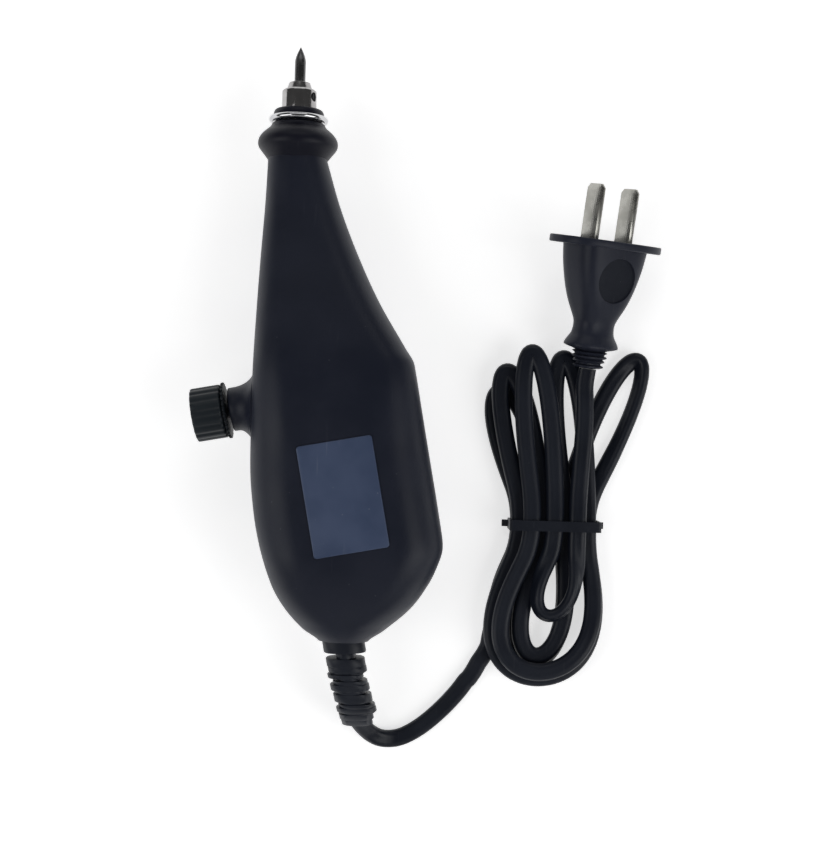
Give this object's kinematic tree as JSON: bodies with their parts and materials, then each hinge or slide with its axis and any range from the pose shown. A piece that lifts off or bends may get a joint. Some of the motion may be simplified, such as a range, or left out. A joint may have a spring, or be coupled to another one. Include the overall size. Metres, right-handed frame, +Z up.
{
  "type": "electric engraving pen",
  "caption": "Corded handheld electric engraver with a vibrating needle, a side knob that sets the stroke, a strain relief and a cord tied in a hank with a two-pin plug.",
  "frame": {"origin": "on the flat belly that the pen rests on, straight below the stylus axis, 115 mm behind the needle's tip", "axes": "+Y along the stylus axis towards the needle's tip, +Z up through the label side, +X to the right seen from the label side"},
  "size_m": [0.1345, 0.2029, 0.0385],
  "materials": {
    "black_moulding": "satin moulded",
    "label_film": "bare satin film",
    "black_rubber": "soft satin",
    "chrome": "polished",
    "turned_steel": "turned",
    "dark_steel": "blackened",
    "carbide": "ground carbide",
    "brass": "turned",
    "iron": "laminated electrical steel",
    "spring_steel": "blued",
    "nylon": "natural nylon",
    "copper": "enamelled copper wire",
    "nickel": "nickel plated",
    "red_lead": "insulation",
    "blue_lead": "insulation"
  },
  "bodies": {
    "pen_body": {"front_shell": "black_moulding", "back_shell": "black_moulding", "housing_screw_1": "dark_steel", "housing_screw_2": "dark_steel", "housing_screw_3": "dark_steel", "housing_screw_4": "dark_steel", "rating_label": "label_film", "nose_collar": "black_rubber", "nose_ring": "chrome", "nose_boot": "black_rubber", "front_bushing": "brass", "rear_bushing": "brass", "magnet_core": "iron", "core_screw_left": "turned_steel", "core_screw_right": "turned_steel", "coil_bobbin": "nylon", "coil_winding": "copper", "reed_bracket": "turned_steel", "reed_screw_1": "turned_steel", "reed_screw_2": "turned_steel", "adjuster_nut": "brass", "knob_spring": "turned_steel", "strain_relief": "black_rubber", "cord_tail": "black_rubber", "cord_clamp": "nylon", "cord_screw_left": "turned_steel", "cord_screw_right": "turned_steel", "lead_wire_left": "red_lead", "lead_wire_right": "blue_lead", "cord_lead": "black_rubber", "cord_hank": "black_rubber", "hank_tie": "black_rubber", "plug_body": "black_rubber", "plug_pin_left": "nickel", "plug_pin_right": "nickel"},
    "armature_swing_body": {"armature": "iron", "leaf_spring": "spring_steel", "armature_rivet_1": "turned_steel", "armature_rivet_2": "turned_steel", "rod_link": "turned_steel"},
    "stylus": {"drive_rod": "turned_steel", "chuck": "turned_steel", "needle": "carbide"},
    "needle_lock": {"needle_lock_screw": "dark_steel"},
    "adjuster_carriage": {"stop_cone": "brass"},
    "knob_body": {"knob": "black_moulding", "adjuster_screw": "turned_steel", "knob_washer": "turned_steel"}
  },
  "joints": [
    {"name": "armature_swing", "type": "hinge", "parent": "pen_body", "child": "armature_swing_body", "pos_m": [0.02847, 0.01603, 0.019], "axis": [0, 0, -1], "range_deg": [-1.5, 1.5], "stiffness_Nm_per_rad": 3},
    {"name": "stylus_stroke", "type": "slide", "parent": "pen_body", "child": "stylus", "axis": [0, 1, 0], "range_m": [-0.00076, 0.00076]},
    {"name": "needle_lock_turn", "type": "hinge", "parent": "stylus", "child": "needle_lock", "pos_m": [0, 0.1005, 0.019], "axis": [0.8829, 0, 0.4695], "range_deg": [0, 180]},
    {"name": "adjuster_travel", "type": "slide", "parent": "pen_body", "child": "adjuster_carriage", "axis": [0.9816, 0.1908, 0], "range_m": [-0.0007, 0.0007], "deforming": ["knob_spring"]},
    {"name": "knob_turn", "type": "hinge", "parent": "adjuster_carriage", "child": "knob_body", "pos_m": [-0.02244, 0.01061, 0.019], "axis": [0.9816, 0.1908, 0], "range_deg": [-360, 360]}
  ],
  "couplings": [
    {"joint": "stylus_stroke", "follows": "armature_swing", "m_per_rad": 0.028465},
    {"joint": "knob_turn", "follows": "adjuster_travel", "rad_per_m": 8976}
  ]
}
